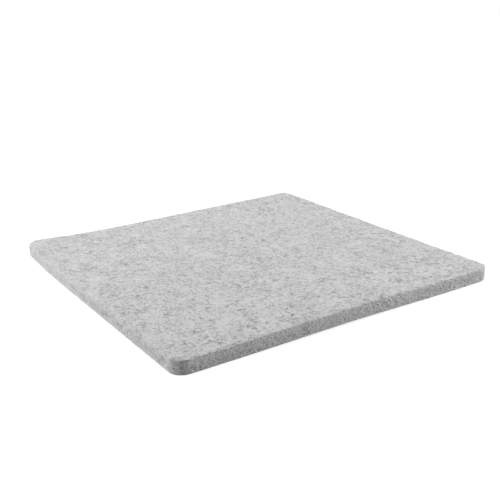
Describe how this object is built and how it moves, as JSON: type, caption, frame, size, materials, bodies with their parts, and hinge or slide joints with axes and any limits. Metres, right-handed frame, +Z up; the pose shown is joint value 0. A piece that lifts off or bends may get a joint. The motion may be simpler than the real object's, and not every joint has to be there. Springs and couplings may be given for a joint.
{
  "type": "ironing mat",
  "caption": "Square slab of heathered grey wool felt with rounded corners and a soft cut edge, laid on a table as a heat-holding pad to press cloth on.",
  "frame": {"origin": "middle of the underside, on the surface that the mat lies on", "axes": "+Z up through the thickness, towards the pressing face; +X and +Y along the sides of the square"},
  "size_m": [0.305, 0.305, 0.0125],
  "materials": {
    "wool_felt": "matt needled wool felt, heathered pale grey with darker and lighter fibres"
  },
  "bodies": {
    "root": {"back_ply": "wool_felt", "core_ply_1": "wool_felt", "core_ply_2": "wool_felt", "core_ply_3": "wool_felt", "face_ply": "wool_felt"}
  },
  "joints": []
}
